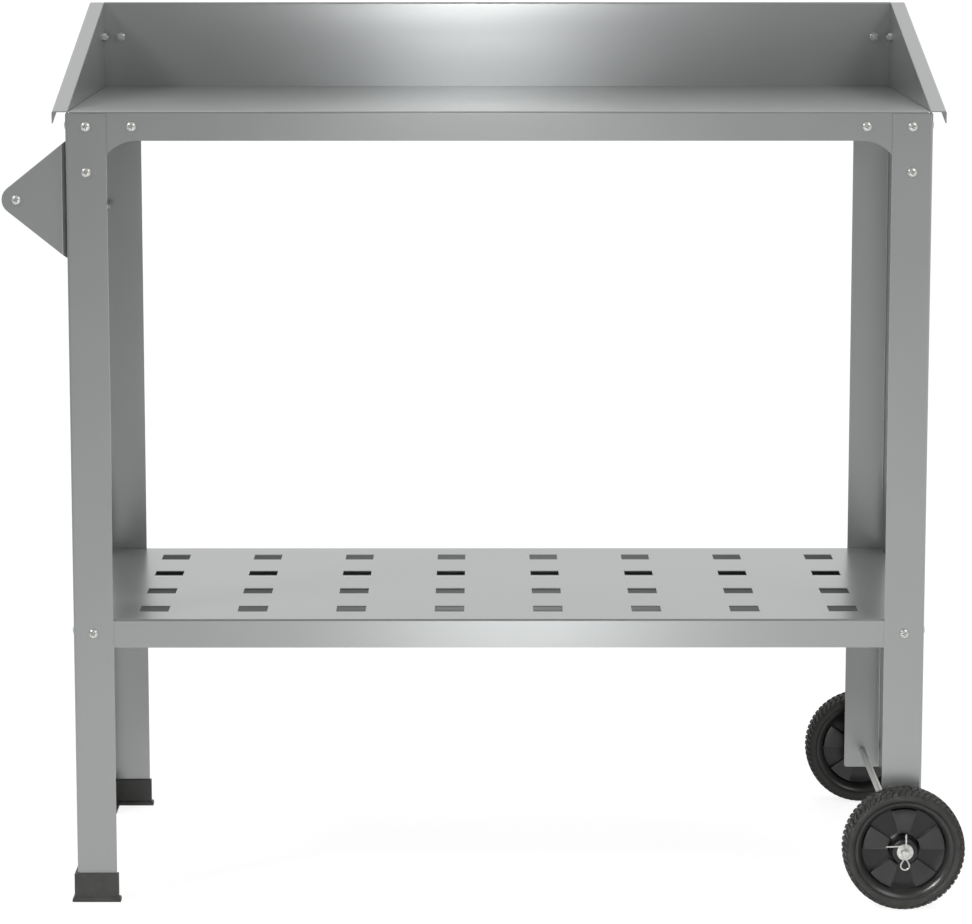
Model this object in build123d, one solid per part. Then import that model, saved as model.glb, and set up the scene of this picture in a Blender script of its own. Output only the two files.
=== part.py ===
from build123d import *
import os
from math import cos, radians, sin

os.makedirs("parts", exist_ok=True)

# Overall sizes in millimetres: X along the table, Y from front to back, Z up from the floor
table_width = 854.0          # over the outside of the legs
table_depth = 400.0          # over the outside of the legs
table_height = 800.0         # floor to work surface
shelf_height = 291.0         # floor to the top of the lower shelf
board_rise = 90.0            # backboard above the work surface

# Legs, folded to an L
leg_sheet = 1.2
leg_flange = 40.0
leg_bend = 2.5               # outside radius of the fold
leg_corner = 3.0             # rounding of the free corners at the foot of each leg
front_leg_drop = 2.5         # front legs end this far below the work surface
back_leg_rise = 68.0         # back legs run this far above it
leg_below_axle = 18.5        # wheel legs run this far below the axle

# Trays: worktop and lower shelf
tray_sheet = 1.0
tray_bend = 2.0
apron = 29.0
tray_return = 12.0           # inward flange along the bottom of the aprons
shelf_notch = 14.0           # that flange stops this far from the shelf's corners
slot_size = 30.0
slot_pitch_x = 100.0
slot_pitch_y = 96.0
slot_columns = 8
slot_rows = 4

# Stiffening channel under each tray
channel_sheet = 1.0
channel_bend = 2.0
channel_width = 56.0
channel_lip = 10.0
channel_clear = 1.0

# Backboard and side panels
panel_sheet = 1.0
panel_bend = 1.8
panel_flange = 14.5          # folded outwards along the top edge
panel_lip = 12.0             # folded down from the flange
panel_fit_gap = 0.2          # between side panels and backboard
fold_clear = 0.2             # keeps sheet ends and corners out of the folds of the legs

# Front corners: the apron runs down into ears behind the legs, backed by L plates of the same outline
gusset_sheet = 1.2
gusset_arm = 74.0
gusset_width = 26.3
gusset_inner_radius = 39.5
gusset_corner = 4.0
gusset_clear = 1.5
gusset_inset = 1.5           # edge of the plate behind the edge of the ear

# Screws and nuts
shank_diameter = 5.0
head_diameter = 9.8
head_height = 2.9
head_crown_diameter = 6.4    # flat top of the tapered button head
nut_across_flats = 8.0
nut_height = 4.0
shank_tail = 2.0             # shank past the nut
hole_clear = 0.25            # radial, in the sheets
thread_clear = 0.05          # radial, in the nuts and plugs
bolt_inset = 20.0            # hole centre from the outside corner of a leg
top_bolt_drop = 15.0         # below the work surface
shelf_bolt_drop = 14.5       # below the top of the shelf
board_bolt_rise = 53.0       # above the work surface
gusset_pitch = 45.0          # between the holes along each gusset arm

# Push handle on the left
handle_height = 712.0        # tube axis above the floor
handle_reach = 50.5          # tube axis from the side of the legs
bracket_head_gap = 9.1       # brackets below the heads of the top screws
bracket_sheet = 1.5
bracket_bend = 2.5
bracket_inset = 10.0         # bracket plates from the front and back of the legs
bracket_flange = 25.0
bracket_half_height = 59.0
bracket_tip_radius = 14.5
bracket_bolt_spread = 41.0   # bolts above and below the middle of the flange
tube_diameter = 22.0
tube_wall = 1.5
plug_length = 20.0
plug_clear = 0.05
plug_screw_length = 14.0

# Plastic feet on the left legs
foot_height = 29.0
foot_floor = 4.0             # plastic under the end of the leg
foot_wall = 3.0              # plastic on each side of the sheet
foot_end = 1.7               # plastic past the edges of the leg
foot_clear = 0.05
foot_ledge = 2.2
foot_ledge_height = 5.0
foot_rounding = 1.6

# Wheels
tyre_radius = 61.5
tyre_width = 36.0
crown_width = 20.0           # full-radius part of the tread
shoulder_drop = 3.0
bulge_depth = 8.0            # widest part of the sidewall below the tread
seat_radius = 47.0           # tyre seat on the rim
seat_width = 26.4
seat_clear = 0.05
bead_height = 1.6            # rim edge above the seat
bead_width = 2.4
bead_chamfer = 0.9
lug_count = 48
lug_gap = 2.8
lug_depth = 2.4
tread_centre_width = 7.0     # unbroken middle of the tread
hub_length = 36.0
boss_radius = 13.0
boss_chamfer = 1.0
dish_inner_radius = 41.0
dish_outer_radius = 45.6
web_thickness = 8.0
spoke_thickness = 14.0
spoke_count = 5
spoke_angle = 36.0

# Axle and what holds the wheels on it
axle_diameter = 7.0
axle_clear = 0.05            # radial running clearance in the rims and legs
axle_tail = 9.0              # axle past the split pin
axle_chamfer = 0.8
spacer_length = 5.0
spacer_diameter = 14.0
washer_diameter = 16.6
washer_thickness = 1.5
washer_clear = 0.2
wheel_play = 0.2             # on each side of the hub
pin_wire = 1.4
pin_gap = 0.2                # between the two legs of the pin
pin_clear = 0.1
pin_straight_end = 19.5      # above the axle's centre
pin_bent_end = 19.5          # to the side of it
pin_bend_height = 7.0
pin_neck = 6.0               # below the axle's centre
pin_eye_width = 10.0
pin_eye_base = 6.0           # flat of the eye before its corners are rounded
pin_eye_bottom = 18.0
pin_bend_radius = 2.2

# Places that follow from the sizes above
half_width = table_width / 2
half_depth = table_depth / 2
top_apron_z = table_height - apron
leg_inner_bend = leg_bend - leg_sheet
panel_end_gap = leg_inner_bend + fold_clear
tray_corner = max(tray_bend, leg_inner_bend) + fold_clear
leg_inner_x = half_width - leg_sheet
leg_inner_y = half_depth - leg_sheet
panel_inner_x = leg_inner_x - panel_sheet
board_front_y = leg_inner_y - panel_sheet
bolt_x = half_width - bolt_inset
bolt_y = half_depth - bolt_inset
top_bolt_z = table_height - top_bolt_drop
shelf_bolt_z = shelf_height - shelf_bolt_drop
board_bolt_z = table_height + board_bolt_rise
gusset_bolt_x = bolt_x - gusset_pitch
gusset_bolt_z = top_bolt_z - gusset_pitch
handle_x = -half_width - handle_reach
bracket_z = top_bolt_z - head_diameter / 2 - bracket_head_gap - bracket_half_height
bracket_y = half_depth - bracket_inset
axle_x = bolt_x
axle_z = tyre_radius
axle_radius = axle_diameter / 2
hub_inner_y = half_depth + spacer_length + wheel_play
wheel_y = hub_inner_y + hub_length / 2
washer_inner_y = hub_inner_y + hub_length + wheel_play
pin_y = washer_inner_y + washer_thickness + pin_wire / 2 + pin_clear
axle_half_length = pin_y + axle_tail

# The handle reaches further out than the wheels, so the table stands off centre in its own box
left_end = half_width + handle_reach + bracket_tip_radius
right_end = axle_x + tyre_radius
centre_shift = Pos((left_end - right_end) / 2, 0, 0)

margin = 1.0                 # how far a cutting shape stands past what it cuts


def save(name, shape):
    export_step(centre_shift * shape, f"parts/{name}.step")


def save_group(name, shapes):
    export_step(Compound(children=[centre_shift * shape for shape in shapes]), f"parts/{name}.step")


def block(low, high):
    return Pos(*low) * Box(*(b - a for a, b in zip(low, high)), align=(Align.MIN, Align.MIN, Align.MIN))


def folded(points, sheet, bend):
    # Section of a folded sheet: its outside line with rounded bends, thickened to the left of its course
    line = FilletPolyline(*points, radius=bend)
    return make_face(offset(Wire(line.edges()), amount=sheet, side=Side.LEFT).edges())


def at_corner(shape, side_x, side_y):
    # Shapes are drawn for the front left corner and mirrored to the others
    if side_x > 0:
        shape = mirror(shape, about=Plane.YZ)
    if side_y > 0:
        shape = mirror(shape, about=Plane.XZ)
    return shape


# Screws: each has a plane on its seat, with Z pointing into the table, and a grip through the sheets
def bolt(x, y, z, inward, grip):
    return Plane(origin=(x, y, z), z_dir=inward), grip


def bolts_along_y(side_y):
    inward = (0, -side_y, 0)
    inner_sheets = tray_sheet + (panel_sheet if side_y > 0 else gusset_sheet)
    found = []
    for side_x in (-1, 1):
        x = side_x * bolt_x
        y = side_y * half_depth
        found.append(bolt(x, y, top_bolt_z, inward, leg_sheet + inner_sheets))
        found.append(bolt(x, y, shelf_bolt_z, inward, leg_sheet + tray_sheet))
        if side_y > 0:
            found.append(bolt(x, y, board_bolt_z, inward, leg_sheet + panel_sheet))
        else:
            found.append(bolt(x, y, gusset_bolt_z, inward, leg_sheet + inner_sheets))
            found.append(bolt(side_x * gusset_bolt_x, side_y * leg_inner_y, top_bolt_z, inward, inner_sheets))
    return found


def bolts_along_x(side_x):
    inward = (-side_x, 0, 0)
    x = side_x * half_width
    found = []
    for side_y in (-1, 1):
        y = side_y * bolt_y
        found.append(bolt(x, y, top_bolt_z, inward, leg_sheet + panel_sheet + tray_sheet))
        found.append(bolt(x, y, shelf_bolt_z, inward, leg_sheet + tray_sheet))
    found.append(bolt(x, bolt_y, board_bolt_z, inward, leg_sheet + panel_sheet))
    return found


def bracket_bolts():
    heights = (bracket_z - bracket_bolt_spread, bracket_z + bracket_bolt_spread)
    x = -half_width - bracket_sheet
    grip = bracket_sheet + leg_sheet
    return [bolt(x, y, z, (1, 0, 0), grip) for y in (-bolt_y, bolt_y) for z in heights]


bolts = {
    "front": bolts_along_y(-1),
    "back": bolts_along_y(1),
    "left": bolts_along_x(-1) + bracket_bolts(),
    "right": bolts_along_x(1),
}


def drilled(sheet_part, *sides):
    radius = shank_diameter / 2 + hole_clear
    holes = []
    for side in sides:
        for plane, grip in bolts[side]:
            holes.append(plane * Pos(0, 0, grip / 2) * Cylinder(radius, grip + 2 * margin))
    return sheet_part - holes


# Legs
def leg(side_x, side_y, bottom, top):
    x, y = -half_width, -half_depth
    section = folded([(x, y + leg_flange), (x, y), (x + leg_flange, y)], leg_sheet, leg_bend)
    post = Pos(0, 0, bottom) * extrude(section, amount=top - bottom)
    foot_edges = post.edges().filter_by(lambda edge: abs(edge.length - leg_sheet) < leg_sheet / 10)
    post = fillet(foot_edges.group_by(Axis.Z)[0], leg_corner)
    return at_corner(post, side_x, side_y)


axle_hole = Pos(axle_x, 0, axle_z) * Rot(90, 0, 0) * Cylinder(axle_radius + axle_clear, table_depth + margin)
sides_x = {"left": -1, "right": 1}
sides_y = {"front": -1, "back": 1}
for name_y, side_y in sides_y.items():
    for name_x, side_x in sides_x.items():
        leg_bottom = foot_floor if side_x < 0 else axle_z - leg_below_axle
        leg_top = table_height + back_leg_rise if side_y > 0 else table_height - front_leg_drop
        post = drilled(leg(side_x, side_y, leg_bottom, leg_top), name_x, name_y)
        if side_x > 0:
            post = post - axle_hole
        save(f"{name_y}_{name_x}_leg", post)


def pan(low, high, inset):
    # Block with rounded corners and top edges, drawn in by an inset on every side
    shape = block([a + inset for a in low], [b - inset for b in high])
    shape = fillet(shape.edges().filter_by(Axis.Z), tray_corner - inset)
    return fillet(shape.edges().group_by(Axis.Z)[-1], tray_bend - inset)


# Trays: a pan with its open side down and a return flange round its mouth, cut away at the corners
def tray(half_x, front_y, back_y, top, notch_x, notch_y):
    bottom = top - apron
    inset = tray_sheet
    outer = pan((-half_x, front_y, bottom), (half_x, back_y, top), 0)
    inner = pan((-half_x, front_y, bottom), (half_x, back_y, top), inset)
    mouth = block(
        (-half_x + tray_return, front_y + tray_return, bottom - margin),
        (half_x - tray_return, back_y - tray_return, bottom + inset + margin),
    )
    notches = []
    for x_low, x_high in ((-half_x + inset, -half_x + notch_x), (half_x - notch_x, half_x - inset)):
        for y_low, y_high in ((front_y + inset, front_y + notch_y), (back_y - notch_y, back_y - inset)):
            notches.append(block((x_low, y_low, bottom - margin), (x_high, y_high, bottom + inset + margin)))
    return outer - [inner, mouth, *notches]


def channel(half_length, y_centre, top):
    depth = apron - 2 * tray_sheet - channel_clear
    half = channel_width / 2
    section = folded(
        [
            (y_centre - half + channel_lip, top),
            (y_centre - half, top),
            (y_centre - half, top - depth),
            (y_centre + half, top - depth),
            (y_centre + half, top),
            (y_centre + half - channel_lip, top),
        ],
        channel_sheet,
        channel_bend,
    )
    return extrude(Plane.YZ * section, amount=half_length, both=True)


# Front corners: one L outline with a curved inner edge gives the apron's ears and, drawn in, the plates behind them
def corner_plate(side_x, inset, face_y, sheet):
    left = -panel_inner_x + tray_sheet + gusset_clear
    top = table_height - tray_sheet - gusset_clear
    arm = gusset_arm - inset
    width = gusset_width - inset
    corner = Pos(left, top) * Rectangle(arm, arm, align=(Align.MIN, Align.MAX))
    cut = Pos(left + width, top - width) * Rectangle(arm, arm, align=(Align.MIN, Align.MAX))
    outline = corner - cut
    inner_corner = outline.vertices().sort_by_distance((left + width, top - width, 0))[0]
    outline = fillet(inner_corner, gusset_inner_radius)
    corners = outline.vertices()
    outline = fillet(corners.group_by(Axis.X)[-1] + corners.group_by(Axis.Y)[0], gusset_corner)
    return at_corner(extrude(Pos(0, face_y, 0) * (Plane.XZ * outline), amount=-sheet), side_x, -1)


gusset_end = gusset_arm + gusset_clear + tray_sheet + margin
worktop_middle_y = (board_front_y - leg_inner_y) / 2
worktop = tray(panel_inner_x, -leg_inner_y, board_front_y, table_height, gusset_end, tray_return + margin)
for side_x in sides_x.values():
    worktop = worktop + corner_plate(side_x, 0, -leg_inner_y, tray_sheet)
save("table_top", drilled(worktop, *bolts))
for name_x, side_x in sides_x.items():
    plate = corner_plate(side_x, gusset_inset, -leg_inner_y + tray_sheet, gusset_sheet)
    save(f"front_{name_x}_gusset", drilled(plate, "front"))
channel_half = panel_inner_x - tray_sheet - channel_clear
save("top_stiffener", channel(channel_half, worktop_middle_y, table_height - tray_sheet))

shelf = tray(leg_inner_x, -leg_inner_y, leg_inner_y, shelf_height, shelf_notch, shelf_notch)
shelf_slots = [
    Pos(0, 0, shelf_height) * place * Box(slot_size, slot_size, 2 * tray_sheet + margin)
    for place in GridLocations(slot_pitch_x, slot_pitch_y, slot_columns, slot_rows)
]
save("lower_shelf", drilled(shelf, *bolts) - shelf_slots)
save("shelf_stiffener", channel(leg_inner_x - tray_sheet - channel_clear, 0, shelf_height - tray_sheet))


# Backboard: a plain sheet with a flange and a lip folded back along its top edge
def backboard():
    top = table_height + board_rise
    back = leg_inner_y + panel_flange
    section = folded(
        [(back, top - panel_lip), (back, top), (board_front_y, top), (board_front_y, top_apron_z)],
        panel_sheet,
        panel_bend,
    )
    return extrude(Plane.YZ * section, amount=leg_inner_x - panel_end_gap, both=True)


save("backboard", drilled(backboard(), "back"))


# Side panels: one folded section drawn along the slope, with a level bottom edge
def side_panel(side_x):
    front = -leg_inner_y + panel_end_gap
    back = min(board_front_y - panel_fit_gap, leg_inner_y - panel_end_gap)
    flange_end = -leg_inner_x - panel_flange
    root = top_apron_z - board_rise - margin
    section = folded(
        [
            (-panel_inner_x, root),
            (-panel_inner_x, table_height),
            (flange_end, table_height),
            (flange_end, table_height - panel_lip),
        ],
        panel_sheet,
        panel_bend,
    )
    slope = Vector(0, back - front, board_rise)
    sheet = extrude(Pos(0, front, 0) * (Plane.XZ * section), amount=slope.length, dir=slope.normalized())
    below = block(
        (flange_end - margin, front - margin, root - margin), (0, back + margin, top_apron_z)
    )
    return at_corner(sheet - below, side_x, -1)


save("side_panel_left", drilled(side_panel(-1), "left"))
save("side_panel_right", drilled(side_panel(1), "right"))


# Handle brackets: a triangular plate with a round tip, folded to a flange on the side of the leg
def bracket():
    x = -half_width
    y = -bracket_y
    past_tip = handle_x - 2 * bracket_tip_radius
    section = folded([(past_tip, y), (x, y), (x, y + bracket_flange)], bracket_sheet, bracket_bend)
    tip = Pos(handle_x, handle_height) * Circle(bracket_tip_radius)
    base = Line((x, bracket_z - bracket_half_height), (x, bracket_z + bracket_half_height))
    outline = make_hull(tip.edges() + [base])
    span = outline.bounding_box()
    bent = Pos(0, 0, span.min.Y) * extrude(section, amount=span.size.Y)
    prism = extrude(Pos(0, y - margin, 0) * (Plane.XZ * outline), amount=-(bracket_flange + 2 * margin))
    tip_hole = Pos(handle_x, y, handle_height) * Rot(90, 0, 0) * Cylinder(
        shank_diameter / 2 + hole_clear, 2 * bracket_sheet + margin
    )
    return (bent & prism) - tip_hole


save("handle_bracket_front", drilled(bracket(), "left"))
save("handle_bracket_back", drilled(mirror(bracket(), about=Plane.XZ), "left"))

# Handle tube between the brackets, with a threaded plug in each end
tube_half_length = bracket_y - bracket_sheet
tube_bore = tube_diameter / 2 - tube_wall
handle_axis = Pos(handle_x, 0, handle_height) * Rot(90, 0, 0)
tube = Cylinder(tube_diameter / 2, 2 * tube_half_length) - Cylinder(tube_bore, 2 * tube_half_length)
save("handle_tube", handle_axis * tube)
plug_thread = Cylinder(shank_diameter / 2 + thread_clear, plug_length)
plug = Cylinder(tube_bore - plug_clear, plug_length) - plug_thread
plug_offset = tube_half_length - plug_length / 2
save_group("handle_end_plugs", [handle_axis * Pos(0, 0, end * plug_offset) * plug for end in (-1, 1)])


# Screws and nuts, drawn with Z pointing from the head's seat into the table
def screw(length):
    head = Pos(0, 0, -head_height / 2) * Cone(head_crown_diameter / 2, head_diameter / 2, head_height)
    return head + Pos(0, 0, length / 2) * Cylinder(shank_diameter / 2, length)


def nut():
    hexagon = RegularPolygon(nut_across_flats / 2, 6, major_radius=False)
    return extrude(hexagon - Circle(shank_diameter / 2 + thread_clear), amount=nut_height)


for side, places in bolts.items():
    save_group(f"{side}_screws", [plane * screw(grip + nut_height + shank_tail) for plane, grip in places])
    save_group(f"{side}_nuts", [plane * Pos(0, 0, grip) * nut() for plane, grip in places])

handle_screws = [
    Plane(origin=(handle_x, side * bracket_y, handle_height), z_dir=(0, -side, 0)) * screw(plug_screw_length)
    for side in (-1, 1)
]
save_group("handle_screws", handle_screws)


# Feet: an L-shaped plastic cap with a slot for the leg and a ledge round its base
def leg_outline(outside, inside, end):
    x, y = -half_width, -half_depth
    reach = leg_flange + end
    along_x = Pos(x - outside, y - outside) * Rectangle(
        reach + outside, outside + leg_sheet + inside, align=(Align.MIN, Align.MIN)
    )
    along_y = Pos(x - outside, y - outside) * Rectangle(
        outside + leg_sheet + inside, reach + outside, align=(Align.MIN, Align.MIN)
    )
    return along_x + along_y


def foot(side_y):
    body = extrude(leg_outline(foot_wall, foot_wall, foot_end), amount=foot_height)
    spread = foot_wall + foot_ledge
    ledge = extrude(leg_outline(spread, spread, foot_end + foot_ledge), amount=foot_ledge_height)
    ledge = fillet(ledge.edges().group_by(Axis.Z)[-1], foot_rounding)
    slot = leg_outline(foot_clear, foot_clear, foot_clear)
    fold = (-half_width + leg_sheet + foot_clear, -half_depth + leg_sheet + foot_clear, 0)
    slot = fillet(slot.vertices().sort_by_distance(fold)[0], leg_inner_bend - foot_clear)
    return at_corner(body + ledge - Pos(0, 0, foot_floor) * extrude(slot, amount=foot_height), -1, side_y)


for name_y, side_y in sides_y.items():
    save(f"{name_y}_left_foot", foot(side_y))


# Rim: hub, web and barrel turned in one, with raised spokes on both faces of the web
def sector(radius, angle):
    half = radians(angle / 2)
    start = (radius * sin(-half), radius * cos(half))
    end = (radius * sin(half), radius * cos(half))
    return make_face([Line((0, 0), start), ThreePointArc(start, (0, radius), end), Line(end, (0, 0))])


def rim():
    bore = axle_radius + axle_clear
    bead_radius = seat_radius + bead_height
    edge = seat_width / 2 + bead_width
    half_section = Polyline(
        (bore, 0),
        (bore, hub_length / 2),
        (boss_radius - boss_chamfer, hub_length / 2),
        (boss_radius, hub_length / 2 - boss_chamfer),
        (boss_radius, web_thickness / 2),
        (dish_inner_radius, web_thickness / 2),
        (dish_outer_radius, edge),
        (bead_radius - bead_chamfer, edge),
        (bead_radius, edge - bead_chamfer),
        (bead_radius, seat_width / 2),
        (seat_radius, seat_width / 2),
        (seat_radius, 0),
    )
    profile = make_face(half_section.edges() + mirror(half_section, about=Plane.XZ).edges())
    turned = revolve(profile, Axis.Y)
    wedge = sector(dish_inner_radius, spoke_angle) - Circle(boss_radius - boss_chamfer)
    spoke = extrude(Plane.XZ * wedge, amount=spoke_thickness / 2, both=True)
    spokes = [Rot(0, place * 360 / spoke_count, 0) * spoke for place in range(spoke_count)]
    return turned + spokes


# Tyre: turned section, its shoulders cut into lugs that are staggered left to right
def tyre():
    inner = seat_radius + seat_clear
    bead_top = seat_radius + bead_height + seat_clear
    foot_half = seat_width / 2 - seat_clear
    cheek_half = tyre_width / 2 - bead_width / 2
    shoulder = (tyre_radius - shoulder_drop, (tyre_width / 2 + crown_width / 2) / 2)
    half_section = Polyline(
        (inner, 0),
        (inner, foot_half),
        (bead_top, foot_half),
        (bead_top, cheek_half),
        (tyre_radius - bulge_depth, tyre_width / 2),
        shoulder,
        (tyre_radius, crown_width / 2),
        (tyre_radius, 0),
    )
    section = make_face(half_section.edges() + mirror(half_section, about=Plane.XZ).edges())
    body = revolve(section, Axis.Y)
    gap = Box(2 * lug_depth, tyre_width, lug_gap)
    gap_y = tread_centre_width / 2 + tyre_width / 2
    gaps = []
    for side in (-1, 1):
        for place in range(lug_count):
            turn = (place + side / 4) * 360 / lug_count
            gaps.append(Rot(0, turn, 0) * Pos(tyre_radius, side * gap_y, 0) * gap)
    return body - gaps


rim_solid = rim()
tyre_solid = tyre()
for name_y, side_y in sides_y.items():
    hub_place = Pos(axle_x, side_y * wheel_y, axle_z)
    save(f"{name_y}_wheel_rim", hub_place * rim_solid)
    save(f"{name_y}_wheel_tyre", hub_place * tyre_solid)

# Axle with a cross hole near each end
axle_line = Pos(axle_x, 0, axle_z) * Rot(90, 0, 0)
rod = Cylinder(axle_radius, 2 * axle_half_length)
rod = chamfer(rod.edges(), axle_chamfer)
pin_hole = Cylinder(pin_wire + pin_gap / 2 + pin_clear, axle_diameter + margin)
pin_holes = [Pos(axle_x, side * pin_y, axle_z) * pin_hole for side in (-1, 1)]
save("axle", axle_line * rod - pin_holes)


# Spacers between the legs and the wheels, washers between the wheels and the split pins
def rings(diameter, length, y_inner):
    shape = Cylinder(diameter / 2, length) - Cylinder(axle_radius + washer_clear, length)
    y_middle = y_inner + length / 2
    return [axle_line * Pos(0, 0, side * y_middle) * shape for side in (-1, 1)]


save_group("axle_spacers", rings(spacer_diameter, spacer_length, half_depth))
save_group("axle_washers", rings(washer_diameter, washer_thickness, washer_inner_y))


# Split pin: one wire through the axle, round its eye and back, one end left straight and the other bent over
def split_pin():
    leg_x = (pin_wire + pin_gap) / 2
    eye = (pin_eye_width - pin_wire) / 2
    eye_base = pin_eye_base / 2
    eye_middle = (pin_neck + pin_eye_bottom) / 2
    eye_low = pin_eye_bottom - pin_wire / 2
    course = FilletPolyline(
        (leg_x, pin_straight_end),
        (leg_x, -pin_neck),
        (eye, -eye_middle),
        (eye_base, -eye_low),
        (-eye_base, -eye_low),
        (-eye, -eye_middle),
        (-leg_x, -pin_neck),
        (-leg_x, pin_bend_height),
        (-pin_bent_end, pin_bend_height),
        radius=pin_bend_radius,
    )
    path = Plane.XZ * course
    return sweep(Plane(origin=path @ 0, z_dir=path % 0) * RegularPolygon(pin_wire / 2, 6), path=path)


for name_y, side_y in sides_y.items():
    save(f"{name_y}_split_pin", Pos(axle_x, side_y * pin_y, axle_z) * split_pin())
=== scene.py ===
import bpy
from math import acos, atan2, cos, degrees, hypot, pi, radians, sin
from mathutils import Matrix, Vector


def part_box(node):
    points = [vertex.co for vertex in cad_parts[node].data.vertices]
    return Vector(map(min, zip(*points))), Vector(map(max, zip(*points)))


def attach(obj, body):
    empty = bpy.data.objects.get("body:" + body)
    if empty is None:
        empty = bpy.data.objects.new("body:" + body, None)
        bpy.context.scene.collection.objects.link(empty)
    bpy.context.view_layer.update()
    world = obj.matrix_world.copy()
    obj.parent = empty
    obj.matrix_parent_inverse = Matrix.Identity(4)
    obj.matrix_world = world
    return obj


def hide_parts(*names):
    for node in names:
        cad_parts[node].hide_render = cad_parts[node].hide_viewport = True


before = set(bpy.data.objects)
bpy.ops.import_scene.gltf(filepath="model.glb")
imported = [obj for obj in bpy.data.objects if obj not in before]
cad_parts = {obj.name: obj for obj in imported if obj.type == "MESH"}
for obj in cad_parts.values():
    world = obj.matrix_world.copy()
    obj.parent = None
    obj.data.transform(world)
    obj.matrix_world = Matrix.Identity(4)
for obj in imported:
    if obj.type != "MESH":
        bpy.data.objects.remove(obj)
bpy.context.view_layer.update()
print("frame loaded:", len(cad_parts), "nodes")

mm = 0.001


def corners(nodeName):
    low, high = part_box(nodeName)
    return Vector(low), Vector(high)


def middleOf(nodeName):
    low, high = corners(nodeName)
    return (low + high) / 2


# Colours are written as sRGB hex and turned to the linear values that shaders take
def linear(hexColour):
    values = [int(hexColour[i:i + 2], 16) / 255 for i in (1, 3, 5)]
    return [v / 12.92 if v <= 0.04045 else ((v + 0.055) / 1.055) ** 2.4 for v in values] + [1.0]


def grey(value):
    return (value, value, value, 1.0)


def addNode(tree, kind, settings=None, links=None):
    node = tree.nodes.new(kind)
    for name, value in (settings or {}).items():
        if isinstance(name, int) or name in node.inputs:
            node.inputs[name].default_value = value
        else:
            setattr(node, name, value)
    for name, socket in (links or {}).items():
        tree.links.new(socket, node.inputs[name])
    return node


def startMaterial(name, settings):
    material = bpy.data.materials.new(name)
    material.use_nodes = True
    tree = material.node_tree
    shader = tree.nodes["Principled BSDF"]
    for socket, value in settings.items():
        shader.inputs[socket].default_value = value
    place = addNode(tree, "ShaderNodeTexCoord").outputs["Object"]
    return material, tree, shader, place


def setTones(ramp, s):
    for element, position, colour in zip(ramp.color_ramp.elements, s["toneSpan"], (s["dark"], s["light"])):
        element.position = position
        element.color = linear(colour)


noiseSpan = (0.3, 0.7)      # nearly all of a noise texture lies in here


# Clouds that wander between two close tones, with the roughness following them
def addClouds(tree, shader, place, s):
    cloud = addNode(tree, "ShaderNodeTexNoise", {"Scale": 1 / s["cloudSize"], "Detail": s["cloudDetail"]},
                    {"Vector": place})
    tone = addNode(tree, "ShaderNodeValToRGB", links={"Fac": cloud.outputs["Fac"]})
    setTones(tone, s)
    gloss = addNode(tree, "ShaderNodeMapRange",
                    {"From Min": noiseSpan[0], "From Max": noiseSpan[1],
                     "To Min": s["roughness"][0], "To Max": s["roughness"][1]},
                    {"Value": cloud.outputs["Fac"]})
    tree.links.new(gloss.outputs["Result"], shader.inputs["Roughness"])
    return tone.outputs["Color"]


# Hot-dip galvanised sheet, skin-passed to a satin: an even cool grey with faint clouds and soft reflections
galvanised = {
    "dark": "#A6A8A8",
    "light": "#A9ABAB",
    "toneSpan": (0.2, 0.8),
    "cloudSize": 90 * mm,
    "cloudDetail": 2.0,
    "roughness": (0.285, 0.3),
    "metallic": 0.7,            # the oxide film scatters part of the light
    "paintedShadeTone": 0.38,         # painted shade: the hollow under the shelf is darkened in the base colour, so it shows much darker through the slots
    "paintedShadeMargin": 0.75 * mm,  # less than the sheet, so that the outer faces and folds stay light
}


# 1 inside a node's box, less a margin at its sides and top, and 0 elsewhere
def insideOf(tree, place, nodeName, margin):
    low, high = corners(nodeName)
    half = (high - low) / 2 - Vector((1, 1, 1)) * margin
    offset = addNode(tree, "ShaderNodeVectorMath", {"operation": "SUBTRACT", 1: (low + high) / 2}, {0: place})
    share = addNode(tree, "ShaderNodeVectorMath", {"operation": "DIVIDE", 1: half}, {0: offset.outputs[0]})
    parts = addNode(tree, "ShaderNodeSeparateXYZ", links={0: share.outputs[0]})
    most = parts.outputs["Z"]
    for side in ("X", "Y"):
        reach = addNode(tree, "ShaderNodeMath", {"operation": "ABSOLUTE"}, {0: parts.outputs[side]})
        most = addNode(tree, "ShaderNodeMath", {"operation": "MAXIMUM"},
                       {0: most, 1: reach.outputs[0]}).outputs[0]
    return addNode(tree, "ShaderNodeMath", {"operation": "LESS_THAN", 1: 1.0}, {0: most}).outputs[0]


def makeGalvanised(name, paintedShadeNode=None):
    s = galvanised
    material, tree, shader, place = startMaterial(name, {"Metallic": s["metallic"]})
    colour = addClouds(tree, shader, place, s)
    # Painted shade: inside the named node's box the base colour is darkened, as if that hollow lay in shadow
    if paintedShadeNode:
        colour = addNode(tree, "ShaderNodeMix",
                         {"data_type": "RGBA", "blend_type": "MULTIPLY", 7: grey(s["paintedShadeTone"])},
                         {0: insideOf(tree, place, paintedShadeNode, s["paintedShadeMargin"]), 6: colour}).outputs[2]
    tree.links.new(colour, shader.inputs["Base Color"])
    return material


# Bright zinc plating on screws, nuts, washers and split pins: pale, fairly sharp reflections
zinc = {
    "dark": "#CACAC6",
    "light": "#E0E0DC",
    "toneSpan": (0.35, 0.65),
    "cloudSize": 3 * mm,
    "cloudDetail": 4.0,
    "roughness": (0.36, 0.29),  # the darker patches are the duller ones
    "metallic": 0.65,
}


def makeZinc():
    s = zinc
    material, tree, shader, place = startMaterial("brightZinc", {"Metallic": s["metallic"]})
    tree.links.new(addClouds(tree, shader, place, s), shader.inputs["Base Color"])
    return material


# Drawn zinc-plated rod: drawing lines run along the axle, which lies along Y
axleSteel = {
    "dark": "#C6C6C2",
    "light": "#DCDCD8",
    "toneSpan": (0.3, 0.7),
    "lineWidth": 0.5 * mm,
    "lineLength": 60 * mm,
    "lineDetail": 3.0,
    "lineHeight": 0.02 * mm,
    "bump": 0.6,
    "roughness": 0.4,
    "metallic": 0.6,
}


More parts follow.
